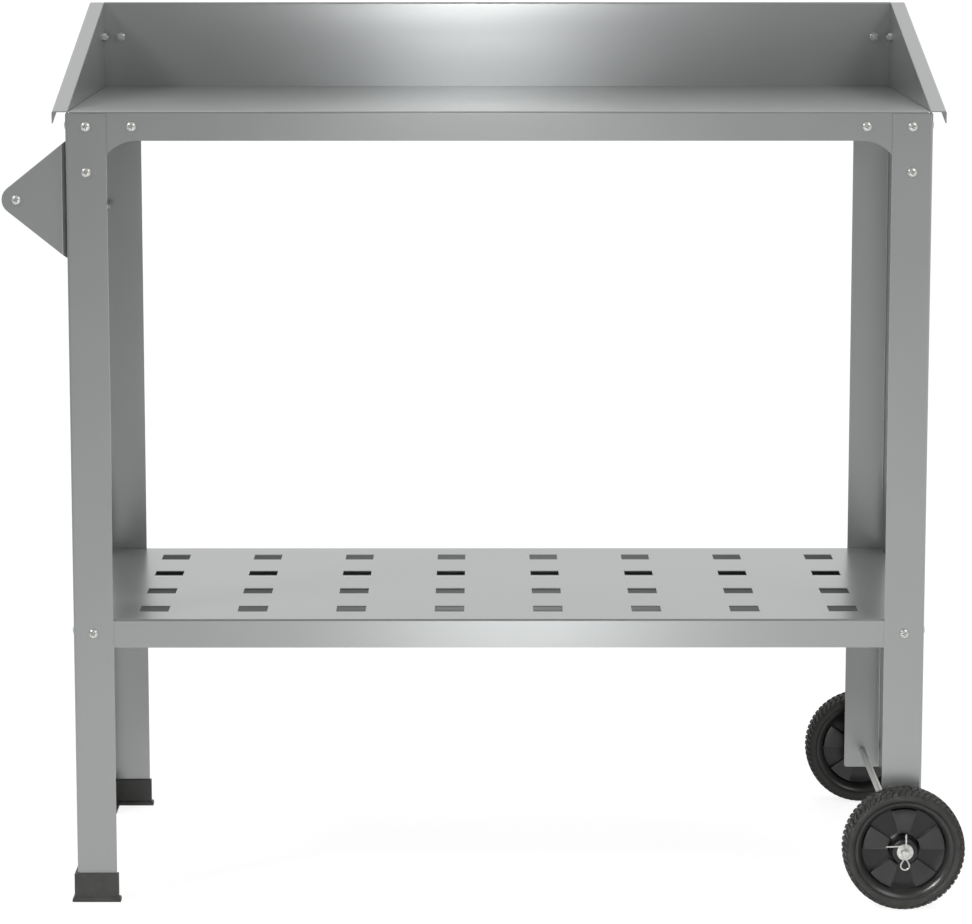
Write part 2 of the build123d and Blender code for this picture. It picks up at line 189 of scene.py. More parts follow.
def makeAxleSteel():
    s = axleSteel
    material, tree, shader, place = startMaterial(
        "drawnRod", {"Metallic": s["metallic"], "Roughness": s["roughness"]})
    across, along = 1 / s["lineWidth"], 1 / s["lineLength"]
    stretch = addNode(tree, "ShaderNodeMapping", {"Scale": (across, along, across)}, {"Vector": place})
    lines = addNode(tree, "ShaderNodeTexNoise", {"Scale": 1.0, "Detail": s["lineDetail"]},
                    {"Vector": stretch.outputs["Vector"]})
    tone = addNode(tree, "ShaderNodeValToRGB", links={"Fac": lines.outputs["Fac"]})
    setTones(tone, s)
    tree.links.new(tone.outputs["Color"], shader.inputs["Base Color"])
    bump = addNode(tree, "ShaderNodeBump", {"Strength": s["bump"], "Distance": s["lineHeight"]},
                   {"Height": lines.outputs["Fac"]})
    tree.links.new(bump.outputs["Normal"], shader.inputs["Normal"])
    return material


# Moulded plastics and rubber share one build: a base tone with faint cloudy variation and a moulded grain, and on
# the rim painted shade in its recesses
moulded = {"toneSpan": (0.35, 0.65), "cloudDetail": 5.0, "grainDetail": 2.0, "bump": 0.8}
plastics = {
    "footPlastic": {"dark": "#484845", "light": "#525250", "cloudSize": 14 * mm, "grainSize": 0.9 * mm,
                    "grainHeight": 0.03 * mm, "roughness": (0.48, 0.58), "specular": 0.4},
    "rimPlastic": {"dark": "#2B2B2A", "light": "#323231", "cloudSize": 18 * mm, "grainSize": 0.8 * mm,
                   "grainHeight": 0.006 * mm, "roughness": (0.285, 0.3), "specular": 0.5,
                   "paintedRecessShade": 0.3},      # painted shade: the web and the boss, which lie deep in the dish, are darkened to this share of the base colour
    "tyreRubber": {"dark": "#333331", "light": "#3E3E3B", "cloudSize": 9 * mm, "grainSize": 0.7 * mm,
                   "grainHeight": 0.05 * mm, "roughness": (0.62, 0.78), "specular": 0.35},
}


def makePlastic(name):
    s = {**moulded, **plastics[name]}
    material, tree, shader, place = startMaterial(name, {"Specular IOR Level": s["specular"]})
    colour = addClouds(tree, shader, place, s)
    # Painted shade: faces marked in the mesh have their base colour darkened
    if "paintedRecessShade" in s:
        paintedRecessShade = addNode(tree, "ShaderNodeAttribute", {"attribute_name": "paintedRecessShade"})
        colour = addNode(tree, "ShaderNodeMix",
                         {"data_type": "RGBA", "blend_type": "MULTIPLY", 7: grey(s["paintedRecessShade"])},
                         {0: paintedRecessShade.outputs["Fac"], 6: colour}).outputs[2]
    tree.links.new(colour, shader.inputs["Base Color"])
    grain = addNode(tree, "ShaderNodeTexNoise", {"Scale": 1 / s["grainSize"], "Detail": s["grainDetail"]},
                    {"Vector": place})
    bump = addNode(tree, "ShaderNodeBump", {"Strength": s["bump"], "Distance": s["grainHeight"]},
                   {"Height": grain.outputs["Fac"]})
    tree.links.new(bump.outputs["Normal"], shader.inputs["Normal"])
    return material


finishes = {
    "galvanised_sheet": makeGalvanised("galvanisedSheet"),
    "zinc_fastener": makeZinc(),
    "axle_steel": makeAxleSteel(),
    "foot_plastic": makePlastic("footPlastic"),
    "rim_plastic": makePlastic("rimPlastic"),
    "tyre_rubber": makePlastic("tyreRubber"),
}

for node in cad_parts.values():
    for slot in node.material_slots:
        slot.material = finishes[slot.material.name.split(".")[0]]
# The shelf and its stiffener get the sheet finish with painted shade in the hollow underneath
shelfWithPaintedShade = makeGalvanised("galvanisedShelfPaintedShade", "lower_shelf")
for name in ("lower_shelf", "shelf_stiffener"):
    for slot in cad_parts[name].material_slots:
        slot.material = shelfWithPaintedShade
print("finishes on", len(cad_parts), "nodes")


wheelCentre = middleOf("front_wheel_rim")
backWheelShift = middleOf("back_wheel_rim") - wheelCentre

mergeWithin = 0.001 * mm    # for points of the CAD's triangles and of closed outlines
seamWithin = 0.002 * mm     # for the seam of a turned shape
sliverSize = 0.01 * mm
pointMode = (True, False, False)
faceMode = (False, False, True)


def clearSelection():
    bpy.ops.object.select_all(action="DESELECT")


def useOnly(piece):
    clearSelection()
    piece.select_set(True)
    bpy.context.view_layer.objects.active = piece


def editAll():
    bpy.ops.object.mode_set(mode="EDIT")
    bpy.ops.mesh.select_all(action="SELECT")


def endEdit():
    bpy.ops.object.mode_set(mode="OBJECT")


# One vertex from a merged plane, extruded point by point
def drawLine(name, points):
    bpy.context.tool_settings.mesh_select_mode = pointMode
    clearSelection()
    bpy.ops.mesh.primitive_plane_add(size=mm)
    piece = bpy.context.object
    piece.name = name
    editAll()
    bpy.ops.mesh.merge(type="CENTER")
    bpy.ops.transform.translate(value=points[0])
    for start, end in zip(points, points[1:]):
        bpy.ops.mesh.extrude_vertices_move(TRANSFORM_OT_translate={"value": Vector(end) - Vector(start)})
    endEdit()
    return piece


# A line of (along the axis, radius) pairs in mm, turned round an axis along Y
def turned(name, line, centre, steps):
    piece = drawLine(name, [centre + Vector((0, along, radius)) * mm for along, radius in line])
    editAll()
    bpy.ops.mesh.spin(steps=steps, angle=2 * pi, center=centre, axis=(0, 1, 0))
    bpy.ops.mesh.select_all(action="SELECT")
    bpy.ops.mesh.remove_doubles(threshold=seamWithin)
    bpy.ops.mesh.normals_make_consistent(inside=False)
    endEdit()
    return piece


def startPicking(mode):
    bpy.context.tool_settings.mesh_select_mode = mode
    bpy.ops.object.mode_set(mode="EDIT")
    bpy.ops.mesh.select_all(action="DESELECT")
    endEdit()


def pickFaces(piece, wanted):
    startPicking(faceMode)
    for face in piece.data.polygons:
        face.select = wanted(face)
    bpy.ops.object.mode_set(mode="EDIT")


def pickPoints(piece, wanted):
    startPicking(pointMode)
    for point in piece.data.vertices:
        point.select = wanted(point.co)
    bpy.ops.object.mode_set(mode="EDIT")


# Takes out the faces and edges that a bevel or a cut leaves with no size
def clearSlivers(piece):
    useOnly(piece)
    editAll()
    bpy.ops.mesh.dissolve_degenerate(threshold=sliverSize)
    endEdit()


def softenEdges(piece, width, segments, angle=40):
    useOnly(piece)
    bevel = piece.modifiers.new("softEdges", "BEVEL")
    bevel.width = width
    bevel.segments = segments
    bevel.limit_method = "ANGLE"
    bevel.angle_limit = radians(angle)
    bpy.ops.object.modifier_apply(modifier=bevel.name)
    clearSlivers(piece)


def smooth(piece, angle=40):
    useOnly(piece)
    bpy.ops.object.shade_smooth_by_angle(angle=radians(angle))


# Large flat faces keep their own normals and the bends between them stay soft
def evenShading(piece):
    smooth(piece)
    weigh = piece.modifiers.new("flatFaces", "WEIGHTED_NORMAL")
    weigh.keep_sharp = True
    bpy.ops.object.modifier_apply(modifier=weigh.name)


# Cuts the piece with another, or keeps only what both share, and takes the other away
def cutWith(piece, cutter, operation):
    useOnly(piece)
    cut = piece.modifiers.new("cut", "BOOLEAN")
    cut.operation = operation
    cut.object = cutter
    cut.solver = "EXACT"
    bpy.ops.object.modifier_apply(modifier=cut.name)
    useOnly(cutter)
    bpy.ops.object.delete()


def copyOf(piece, name, shift=(0, 0, 0)):
    useOnly(piece)
    bpy.ops.object.duplicate()
    twin = bpy.context.object
    twin.name = name
    editAll()
    bpy.ops.transform.translate(value=shift)
    endEdit()
    return twin


# A copy of a CAD node with its triangles joined up and the frame's own marks taken off
def mergedCopy(nodeName, name):
    piece = copyOf(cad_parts[nodeName], name)
    for key in list(piece.keys()):
        del piece[key]
    editAll()
    bpy.ops.mesh.remove_doubles(threshold=mergeWithin)
    endEdit()
    return piece


def joinAll(pieces, name):
    useOnly(pieces[0])
    for piece in pieces[1:]:
        piece.select_set(True)
    bpy.ops.object.join()
    piece = bpy.context.object
    piece.name = name
    return piece


# Lowest and highest corner of each loose part of a CAD node
def loosePlaces(nodeName):
    useOnly(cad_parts[nodeName])
    bpy.ops.object.duplicate()
    editAll()
    bpy.ops.mesh.remove_doubles(threshold=mergeWithin)
    bpy.ops.mesh.separate(type="LOOSE")
    endEdit()
    places = []
    for part in bpy.context.selected_objects:
        spots = [point.co for point in part.data.vertices]
        low = Vector([min(spot[i] for spot in spots) for i in range(3)])
        high = Vector([max(spot[i] for spot in spots) for i in range(3)])
        places.append((low, high))
    bpy.ops.object.delete()
    return sorted(places, key=lambda place: tuple(place[0]))


def fitPiece(piece, body, slotName, *nodes):
    piece.data.materials.clear()
    piece.data.materials.append(finishes[slotName])
    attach(piece, body)
    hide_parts(*nodes)


# Tyre: rounded walls, a tread of three rows of lugs set in a shallow V, half a pitch apart from row to row
tyre = {
    "wall": [(13.3, 48.6), (13.9, 50.2), (14.9, 50.6), (16.1, 51.4), (17.0, 52.7), (17.4, 54.2), (17.3, 55.5),
             (16.9, 56.4), (16.2, 57.2), (14.6, 58.3), (11.5, 59.15), (7.4, 59.5), (5.4, 59.55), (2.6, 59.6)],
    "pitches": 60,
    "stepsPerPitch": 5,
    "lugSteps": 3,
    "middleShift": 3,           # steps from the front row's lugs to the middle row's
    "treadFrom": 56.5,          # radius past which a face can carry a lug
    "shoulderRow": (7.4, 16.4),
    "middleRow": 5.5,
    "lugHeight": 1.87,
    "slant": 5.0,               # degrees that a groove runs back from the middle to the shoulder
    "slantFrom": 57.0,          # radius past which points turn by that
    "ringWithin": 0.006,        # points this close along the axle turn together
    "edge": 0.3,
    "edgeSteps": 1,
}


def makeTyre():
    s = tyre
    line = s["wall"] + [(-along, radius) for along, radius in reversed(s["wall"])]
    steps = s["pitches"] * s["stepsPerPitch"]
    piece = turned("front_tyre_lugged", line + line[:1], wheelCentre, steps)

    def place(co):
        step = atan2(co.x - wheelCentre.x, co.z - wheelCentre.z) / (2 * pi) * steps
        return (co.y - wheelCentre.y) / mm, (co - wheelCentre).length / mm, step % s["stepsPerPitch"]

    def isLug(face):
        along, radius, step = place(face.center)
        if radius < s["treadFrom"]:
            return False
        low, high = s["shoulderRow"]
        if low < abs(along) < high:
            shift = 0 if along < 0 else s["stepsPerPitch"] / 2
            return (step + shift) % s["stepsPerPitch"] < s["lugSteps"]
        return abs(along) < s["middleRow"] and (step + s["middleShift"]) % s["stepsPerPitch"] < s["lugSteps"]

    def slants(co):
        return (co - wheelCentre).length > s["slantFrom"] * mm

    pickFaces(piece, isLug)
    bpy.ops.mesh.extrude_region_shrink_fatten(TRANSFORM_OT_shrink_fatten={"value": s["lugHeight"] * mm})
    endEdit()
    rings = sorted({round(place(point.co)[0], 2) for point in piece.data.vertices if slants(point.co)})
    for ring in rings:
        pickPoints(piece, lambda co: abs(place(co)[0] - ring) < s["ringWithin"] and slants(co))
        turn = s["slant"] * abs(ring) / s["shoulderRow"][1]
        bpy.ops.transform.rotate(value=radians(turn), orient_axis="Y", center_override=wheelCentre)
        endEdit()
    softenEdges(piece, s["edge"] * mm, s["edgeSteps"])
    smooth(piece)
    twin = copyOf(piece, "back_tyre_lugged", backWheelShift)
    fitPiece(piece, "front_wheel", "tyre_rubber", "front_wheel_tyre")
    fitPiece(twin, "back_wheel", "tyre_rubber", "back_wheel_tyre")


# Rim: one moulding with a boss, a flat web, a curved dish and five wide spokes standing up from the web
rim = {
    "half": [(18.0, 3.6), (18.0, 6.5), (18.0, 11.4), (17.6, 12.3), (16.8, 12.9), (8.2, 13.6), (5.8, 14.0),
             (2.8, 14.9), (1.5, 16.4), (1.5, 20.0), (1.5, 26.0), (1.5, 32.0), (1.5, 41.0), (1.9, 41.7),
             (3.4, 42.1), (6.0, 42.5), (8.4, 43.2), (10.4, 44.2), (12.0, 45.4), (13.2, 46.8), (14.0, 48.2),
             (14.4, 49.0), (14.5, 49.5), (14.2, 49.9), (13.6, 50.0), (13.2, 49.7), (13.2, 48.4)],
    "steps": 120,
    "webWithin": 2.0,           # flat faces this near to the middle plane are the web's
    "flat": 0.99,               # how squarely a flat face looks along the axle
    "spokes": 5,
    "spokeAngle": 36.0,
    "spokeRise": 5.5,
    "spokeReach": (15.5, 41.2),
    "edge": 0.45,
    "edgeSteps": 2,
}


def makeRim():
    s = rim
    line = s["half"] + [(-along, radius) for along, radius in reversed(s["half"])]
    piece = turned("front_rim_moulded", line + line[:1], wheelCentre, s["steps"])
    low, high = s["spokeReach"]

    def onWeb(face):
        return abs(face.normal.y) > s["flat"] and abs(face.center.y - wheelCentre.y) < s["webWithin"] * mm

    def onSpoke(face, side):
        spot = face.center - wheelCentre
        angle = degrees(atan2(spot.x, spot.z)) % (360 / s["spokes"])
        centred = min(angle, 360 / s["spokes"] - angle) < s["spokeAngle"] / 2
        return centred and onWeb(face) and face.normal.y * side > 0 and low * mm < spot.length < high * mm

    for side in (-1, 1):
        pickFaces(piece, lambda face: onSpoke(face, side))
        bpy.ops.mesh.extrude_region_move(TRANSFORM_OT_translate={"value": (0, side * s["spokeRise"] * mm, 0)})
        endEdit()
    softenEdges(piece, s["edge"] * mm, s["edgeSteps"])
    smooth(piece)
    # Marks the web and the boss, deep in the dish, for painted shade in the rim's material
    paintedRecessShade = piece.data.attributes.new("paintedRecessShade", "FLOAT", "FACE")
    for face, mark in zip(piece.data.polygons, paintedRecessShade.data):
        onBoss = (face.center - wheelCentre).xz.length < low * mm
        mark.value = 1.0 if onWeb(face) or onBoss else 0.0
    twin = copyOf(piece, "back_rim_moulded", backWheelShift)
    fitPiece(piece, "front_wheel", "rim_plastic", "front_wheel_rim")
    fitPiece(twin, "back_wheel", "rim_plastic", "back_wheel_rim")


makeTyre()
makeRim()
print("tyres and rims modelled")


# Feet: the plain cap with its ledge flattened and drawn up to the wall in a slope, and its edges rounded
foot = {
    "slope": (3.4, 5.0),        # heights between which the cap's ledge rises to its wall
    "flattened": (2.0, 4.7),    # the same heights afterwards
    "slopeWithin": 0.05,
    "pocketFloor": 4.0,         # the floor inside the cap stays where it is
    "floorWithin": 0.01,
    "flatAngle": 2,             # degrees below which two faces count as one
    "edge": 0.5,
    "edgeSteps": 3,
    "edgeAngle": 30,
}


def makeFeet():
    s = foot
    low, high = s["slope"]
    newLow, newHigh = s["flattened"]
    squeeze = (newHigh - newLow) / (high - low)

    def onSlope(co):
        height = co.z / mm
        inRange = low - s["slopeWithin"] < height < high + s["slopeWithin"]
        return inRange and abs(height - s["pocketFloor"]) > s["floorWithin"]

    for side in ("front", "back"):
        piece = mergedCopy(side + "_left_foot", side + "_foot_moulded")
        editAll()
        bpy.ops.mesh.dissolve_limited(angle_limit=radians(s["flatAngle"]))
        endEdit()
        pickPoints(piece, onSlope)
        bpy.ops.transform.resize(value=(1, 1, squeeze), center_override=(0, 0, low * mm))
        bpy.ops.transform.translate(value=(0, 0, (newLow - low) * mm))
        endEdit()
        softenEdges(piece, s["edge"] * mm, s["edgeSteps"], s["edgeAngle"])
        evenShading(piece)
        fitPiece(piece, "frame", "foot_plastic", side + "_left_foot")


makeFeet()
print("feet modelled")


# Backboard: the plain sheet, drawn out at both ends to close the corners against the side panels
board = {"drawnOut": 1.1, "endDepth": 0.5}


def makeBackboard():
    s = board
    piece = mergedCopy("backboard", "backboard_closed")
    low, high = corners("backboard")
    for end, side in ((low.x, -1), (high.x, 1)):
        pickPoints(piece, lambda co: abs(co.x - end) < s["endDepth"] * mm)
        bpy.ops.transform.translate(value=(side * s["drawnOut"] * mm, 0, 0))
        endEdit()
    evenShading(piece)
    fitPiece(piece, "frame", "galvanised_sheet", "backboard")


makeBackboard()
print("backboard closed")


# Handle brackets: sheet folded beside the leg, first sharply and then wide, cut to a triangle with a round tip
bracket = {
    "sheet": 1.5,
    "fold": [(2.4, 0, 30), (9.0, 30, 90)],      # radius, from and to which angle
    "foldSteps": 5,
    "tipRadius": 14.5,
    "tipSteps": 24,
    "margin": 2.0,
}


def bracketOutline(low, high, margin):
    # Round the tip from the upper tangent point to the lower one, then along the leg
    s = bracket
    tip = middleOf("handle_tube").xz
    radius = s["tipRadius"] * mm
    angles = []
    for side, corner in ((1, high.z), (-1, low.z)):
        across, rise = high.x - tip.x, corner - tip.y
        angles.append(atan2(rise, across) + side * acos(radius / hypot(across, rise)))
    start, end = angles[0], angles[1] + 2 * pi
    turns = [start + (end - start) * step / s["tipSteps"] for step in range(s["tipSteps"] + 1)]
    line = [(tip.x + radius * cos(turn), tip.y + radius * sin(turn)) for turn in turns]
    past = high.x + margin
    return line + [(high.x, low.z), (past, low.z), (past, high.z), (high.x, high.z), line[0]]


# The fold in plan, in mm from where the plate's flat ends: along the plate and back along the leg
def foldLine():
    s = bracket
    line = [(0.0, 0.0)]
    for radius, start, end in s["fold"]:
        along, back = line[-1]
        first = radians(start)
        for step in range(1, s["foldSteps"] + 1):
            turn = radians(start + (end - start) * step / s["foldSteps"])
            line.append((along + radius * (sin(turn) - sin(first)), back + radius * (cos(first) - cos(turn))))
    return line


def makeBrackets():
    s = bracket
    margin = s["margin"] * mm
    fold = foldLine()
    for side, outward in (("front", -1), ("back", 1)):
        low, high = corners("handle_bracket_" + side)
        face, flangeEnd = (low.y, high.y) if outward < 0 else (high.y, low.y)
        plan = [(low.x - margin, face)]
        plan += [(high.x - (fold[-1][0] - along) * mm, face - outward * back * mm) for along, back in fold]
        plan.append((high.x, flangeEnd))
        piece = drawLine("handle_bracket_" + side + "_bent", [Vector((x, y, low.z)) for x, y in plan])
        editAll()
        bpy.ops.mesh.extrude_region_move(TRANSFORM_OT_translate={"value": (0, 0, high.z - low.z)})
        endEdit()
        if piece.data.polygons[0].normal.y * outward < 0:
            editAll()
            bpy.ops.mesh.flip_normals()
            endEdit()
        thicken = piece.modifiers.new("sheet", "SOLIDIFY")
        thicken.thickness = s["sheet"] * mm
        thicken.offset = -1
        thicken.use_even_offset = True
        bpy.ops.object.modifier_apply(modifier=thicken.name)
        outline = bracketOutline(low, high, margin)
        cutter = drawLine("outline", [Vector((x, low.y - margin, z)) for x, z in outline])
        editAll()
        bpy.ops.mesh.remove_doubles(threshold=mergeWithin)
        bpy.ops.mesh.edge_face_add()
        bpy.ops.mesh.extrude_region_move(TRANSFORM_OT_translate={"value": (0, high.y - low.y + 2 * margin, 0)})
        bpy.ops.mesh.select_all(action="SELECT")
        bpy.ops.mesh.normals_make_consistent(inside=False)
        endEdit()
        cutWith(piece, cutter, "INTERSECT")
        evenShading(piece)
        fitPiece(piece, "frame", "galvanised_sheet", "handle_bracket_" + side)


makeBrackets()
print("handle brackets bent")


# Washers: punched rings, rounded on their edges
washer = {"inner": 3.65, "outer": 8.3, "round": 0.35, "roundMiddle": 0.3, "steps": 48, "smoothAngle": 30}


def makeWashers():
    s = washer
    made = []
    for low, high in loosePlaces("axle_washers"):
        half = (high.y - low.y) / 2 / mm
        edge, inset = s["round"], s["round"] * s["roundMiddle"]
        line = [(half, s["inner"] + edge), (half, s["outer"] - edge), (half - inset, s["outer"] - inset),
                (half - edge, s["outer"])]
        line += [(-along, radius) for along, radius in reversed(line)]
        line += [(-half + edge, s["inner"]), (half - edge, s["inner"]), line[0]]
        made.append(turned("washer", line, (low + high) / 2, s["steps"]))
    piece = joinAll(made, "axle_washers_rounded")
    smooth(piece, s["smoothAngle"])
    fitPiece(piece, "frame", "zinc_fastener", "axle_washers")


# Split pins: one bent wire, eye below the axle, one leg straight up and one turned aside
splitPin = {
    "wire": 0.75,
    "wireSteps": 4,
    "path": [(0.8, 18.9), (0.8, 13.0), (0.8, 7.0), (0.8, 1.0), (0.8, -4.0), (0.9, -6.4), (2.1, -8.6),
             (3.9, -11.2), (4.6, -13.8), (3.7, -16.4), (1.5, -17.9), (-1.5, -17.9), (-3.7, -16.4), (-4.6, -13.8),
             (-3.9, -11.2), (-2.1, -8.6), (-0.9, -6.4), (-0.8, -4.0), (-0.8, 1.0), (-0.8, 4.6), (-1.4, 6.0),
             (-3.0, 6.5), (-7.0, 6.4), (-13.0, 6.1), (-19.2, 5.8)],
    "smoothing": 2,
    "weldWithin": 0.01,
}


def makeSplitPins():
    s = splitPin
    for side in ("front", "back"):
        centre = Vector((wheelCentre.x, middleOf(side + "_split_pin").y, wheelCentre.z))
        piece = drawLine(side + "_split_pin_bent", [centre + Vector((x, 0, z)) * mm for x, z in s["path"]])
        ease = piece.modifiers.new("ease", "SUBSURF")
        ease.levels = ease.render_levels = s["smoothing"]
        bpy.ops.object.modifier_apply(modifier=ease.name)
        bpy.ops.object.convert(target="CURVE")
        wire = bpy.context.object
        wire.data.bevel_depth = s["wire"] * mm
        wire.data.bevel_resolution = s["wireSteps"]
        wire.data.use_fill_caps = True
        bpy.ops.object.convert(target="MESH")
        piece = bpy.context.object
        editAll()
        bpy.ops.mesh.remove_doubles(threshold=s["weldWithin"] * mm)
        bpy.ops.mesh.normals_make_consistent(inside=False)
        endEdit()
        smooth(piece)
        fitPiece(piece, "frame", "zinc_fastener", side + "_split_pin")


makeWashers()
makeSplitPins()
print("washers and split pins modelled")


# Screws: pan heads with a cross recess, and a thread that shows past the nut
screw = {
    "head": [(0.0, 4.9), (-0.6, 4.9), (-1.3, 4.65), (-1.95, 4.1), (-2.45, 3.3), (-2.75, 2.3), (-2.9, 1.1),
             (-2.9, 0.0)],
    "tip": 10.0,                # each copy's shank is then drawn out to its own length
    "tipTaper": 0.5,
    "shank": 2.48,
    "root": 2.05,
    "pitch": 0.8,
    "threads": 4,
    "recessLength": 6.2,
    "recessWidth": 1.5,
    "recessDepth": 2.4,
    "recessTaper": (0.5, 1, 0.7),
    "recessTurn": 20,
    "steps": 32,
}


def makeScrew():
    # Stands at the origin with its seat in the XZ plane and its head towards -Y
    s = screw
    headTop = s["head"][-1][0] * mm
    line = s["head"][::-1] + [(0.0, s["shank"])]
    at = s["tip"] - s["threads"] * s["pitch"] - s["tipTaper"]
    line.append((at, s["shank"]))
    for turn in range(s["threads"]):
        line.append((at + s["pitch"] / 2, s["root"]))
        line.append((at + s["pitch"], s["shank"]))
        at += s["pitch"]
    line += [(s["tip"], s["root"]), (s["tip"], 0.0)]
    piece = turned("screw", line, Vector(), s["steps"])
    slotSize = Vector((s["recessLength"], 2 * s["recessDepth"], s["recessWidth"])) * mm
    for angle in (0, 90):
        clearSelection()
        bpy.ops.mesh.primitive_cube_add(size=1)
        cutter = bpy.context.object
        editAll()
        bpy.ops.transform.resize(value=slotSize)
        bpy.ops.transform.translate(value=(0, headTop, 0))
        endEdit()
        pickPoints(cutter, lambda co: co.y > headTop)
        bpy.ops.transform.resize(value=s["recessTaper"], center_override=(0, 0, 0))
        bpy.ops.mesh.select_all(action="SELECT")
        bpy.ops.transform.rotate(value=radians(angle + s["recessTurn"]), orient_axis="Y", center_override=(0, 0, 0))
        endEdit()
        cutWith(piece, cutter, "DIFFERENCE")
    smooth(piece)
    return piece


# Nuts: hexagons with their corners turned off
nut = {
    "flats": 8.0,
    "height": 4.0,
    "faceShare": 0.97,          # of the flats, left flat on each end
    "chamfer": 0.55,            # height of the chamfer for each mm that it goes in
    "clearance": 0.05,
    "steps": 48,
    "smoothAngle": 25,
}


def makeNut():
    # Stands at the origin with its seat in the XZ plane, body towards +Y
    s = nut
    clearSelection()
    corner = s["flats"] / 2 / cos(radians(30))
    bpy.ops.mesh.primitive_cylinder_add(vertices=6, radius=corner * mm, depth=s["height"] * mm)
    piece = bpy.context.object
    piece.name = "nut"
    editAll()
    bpy.ops.transform.rotate(value=radians(90), orient_axis="X", center_override=(0, 0, 0))
    bpy.ops.transform.translate(value=(0, s["height"] / 2 * mm, 0))
    endEdit()
    flat = s["flats"] / 2 * s["faceShare"]
    rise, outer = (corner - flat) * s["chamfer"], corner + s["clearance"]
    line = [(0.0, 0.0), (0.0, flat), (rise, outer), (s["height"] - rise, outer), (s["height"], flat),
            (s["height"], 0.0)]
    shaper = turned("shaper", line, Vector(), s["steps"])
    cutWith(piece, shaper, "INTERSECT")
    clearSlivers(piece)
    smooth(piece, s["smoothAngle"])
    return piece


# Each group's axis, the way its heads look along it, and the turn about Z that brings -Y there.
# The handle's two screws look away from each other, so theirs follows from their place.
sides = {
    "front": (1, -1, 0),
    "back": (1, 1, 180),
    "left": (0, -1, -90),
    "right": (0, 1, 90),
    "handle": (1, 0, 0),
}


def standAt(model, turn, spot, stretch=0.0):
    twin = copyOf(model, "placed")
    if stretch:
        pickPoints(twin, lambda co: co.y > screw["tip"] / 2 * mm)
        bpy.ops.transform.translate(value=(0, stretch, 0))
    editAll()
    if turn:
        bpy.ops.transform.rotate(value=-radians(turn), orient_axis="Z", center_override=(0, 0, 0))
    bpy.ops.transform.translate(value=spot)
    endEdit()
    return twin


def makeFasteners():
    screwModel, nutModel = makeScrew(), makeNut()
    headRise = -screw["head"][-1][0] * mm
    for group, (axis, outward, turn) in sides.items():
        made = []
        for low, high in loosePlaces(group + "_screws"):
            spot = (low + high) / 2
            facing = outward or (-1 if spot.y < 0 else 1)
            headTurn = turn if outward else (0 if facing < 0 else 180)
            edge = high[axis] if facing > 0 else low[axis]
            spot[axis] = edge - facing * headRise
            length = high[axis] - low[axis] - headRise
            made.append(standAt(screwModel, headTurn, spot, length - screw["tip"] * mm))
        piece = joinAll(made, group + "_screws_pan")
        smooth(piece)
        fitPiece(piece, "frame", "zinc_fastener", group + "_screws")
        if group == "handle":
            continue
        made = []
        for low, high in loosePlaces(group + "_nuts"):
            spot = (low + high) / 2
            spot[axis] = high[axis] if outward > 0 else low[axis]
            made.append(standAt(nutModel, turn, spot))
        piece = joinAll(made, group + "_nuts_hex")
        smooth(piece, nut["smoothAngle"])
        fitPiece(piece, "frame", "zinc_fastener", group + "_nuts")
    for model in (screwModel, nutModel):
        useOnly(model)
        bpy.ops.object.delete()


makeFasteners()
print("screws and nuts modelled")


# Floor: white to the eye with a soft shadow under the table; in reflections it falls off to the front and left
floorLook = {
    "size": 60.0,
    "albedo": 0.8,
    "ownLight": 0.86,
    "shaded": 0.28,
    "mirrored": (0.74, 0.2),
    "fallOff": (1.5, 8.3),
    "fallOffTowards": (-2.0, -1.0, 0.0),
}


def makeFloor():
    s = floorLook
    clearSelection()
    bpy.ops.mesh.primitive_plane_add(size=s["size"])
    floor = bpy.context.object
    floor.name = "floor"
    material = bpy.data.materials.new("paleFloor")
    material.use_nodes = True
    tree = material.node_tree
    tree.nodes.clear()
    path = addNode(tree, "ShaderNodeLightPath")
    seen = path.outputs["Is Camera Ray"]
    for ray in ("Is Glossy Ray", "Is Transmission Ray"):
        seen = addNode(tree, "ShaderNodeMath", {"operation": "MAXIMUM"},
                       {0: seen, 1: path.outputs[ray]}).outputs[0]
    lit = addNode(tree, "ShaderNodeBsdfDiffuse", {"Color": grey(s["albedo"])})
    soft = addNode(tree, "ShaderNodeBsdfDiffuse", {"Color": grey(s["shaded"])})
    spot = addNode(tree, "ShaderNodeTexCoord").outputs["Object"]
    away = addNode(tree, "ShaderNodeVectorMath", {"operation": "DOT_PRODUCT", 1: s["fallOffTowards"]},
                   {0: spot})
    fade = addNode(tree, "ShaderNodeMapRange",
                   {"From Min": s["fallOff"][0], "From Max": s["fallOff"][1],
                    "To Min": s["mirrored"][0], "To Max": s["mirrored"][1]}, {"Value": away.outputs["Value"]})
    strength = addNode(tree, "ShaderNodeMix", {"data_type": "FLOAT", 3: s["ownLight"]},
                       {0: path.outputs["Is Camera Ray"], 2: fade.outputs[0]})
    own = addNode(tree, "ShaderNodeEmission", {"Color": grey(1.0)}, {"Strength": strength.outputs[0]})
    both = addNode(tree, "ShaderNodeAddShader", links={0: soft.outputs[0], 1: own.outputs[0]})
    mix = addNode(tree, "ShaderNodeMixShader", links={0: seen, 1: lit.outputs[0], 2: both.outputs[0]})
    addNode(tree, "ShaderNodeOutputMaterial", links={"Surface": mix.outputs[0]})
    floor.data.materials.append(material)


# Studio: white behind and beside the table, greyer in front, and darker on the left there than on the right
studio = {
    "behind": 0.97,
    "frontLeft": 0.15,
    "frontRight": 0.32,
    "leftToRight": (-0.35, 0.35),       # parts of a direction along X and Y over which the tone changes
    "frontToBack": (-0.35, 0.3),
}


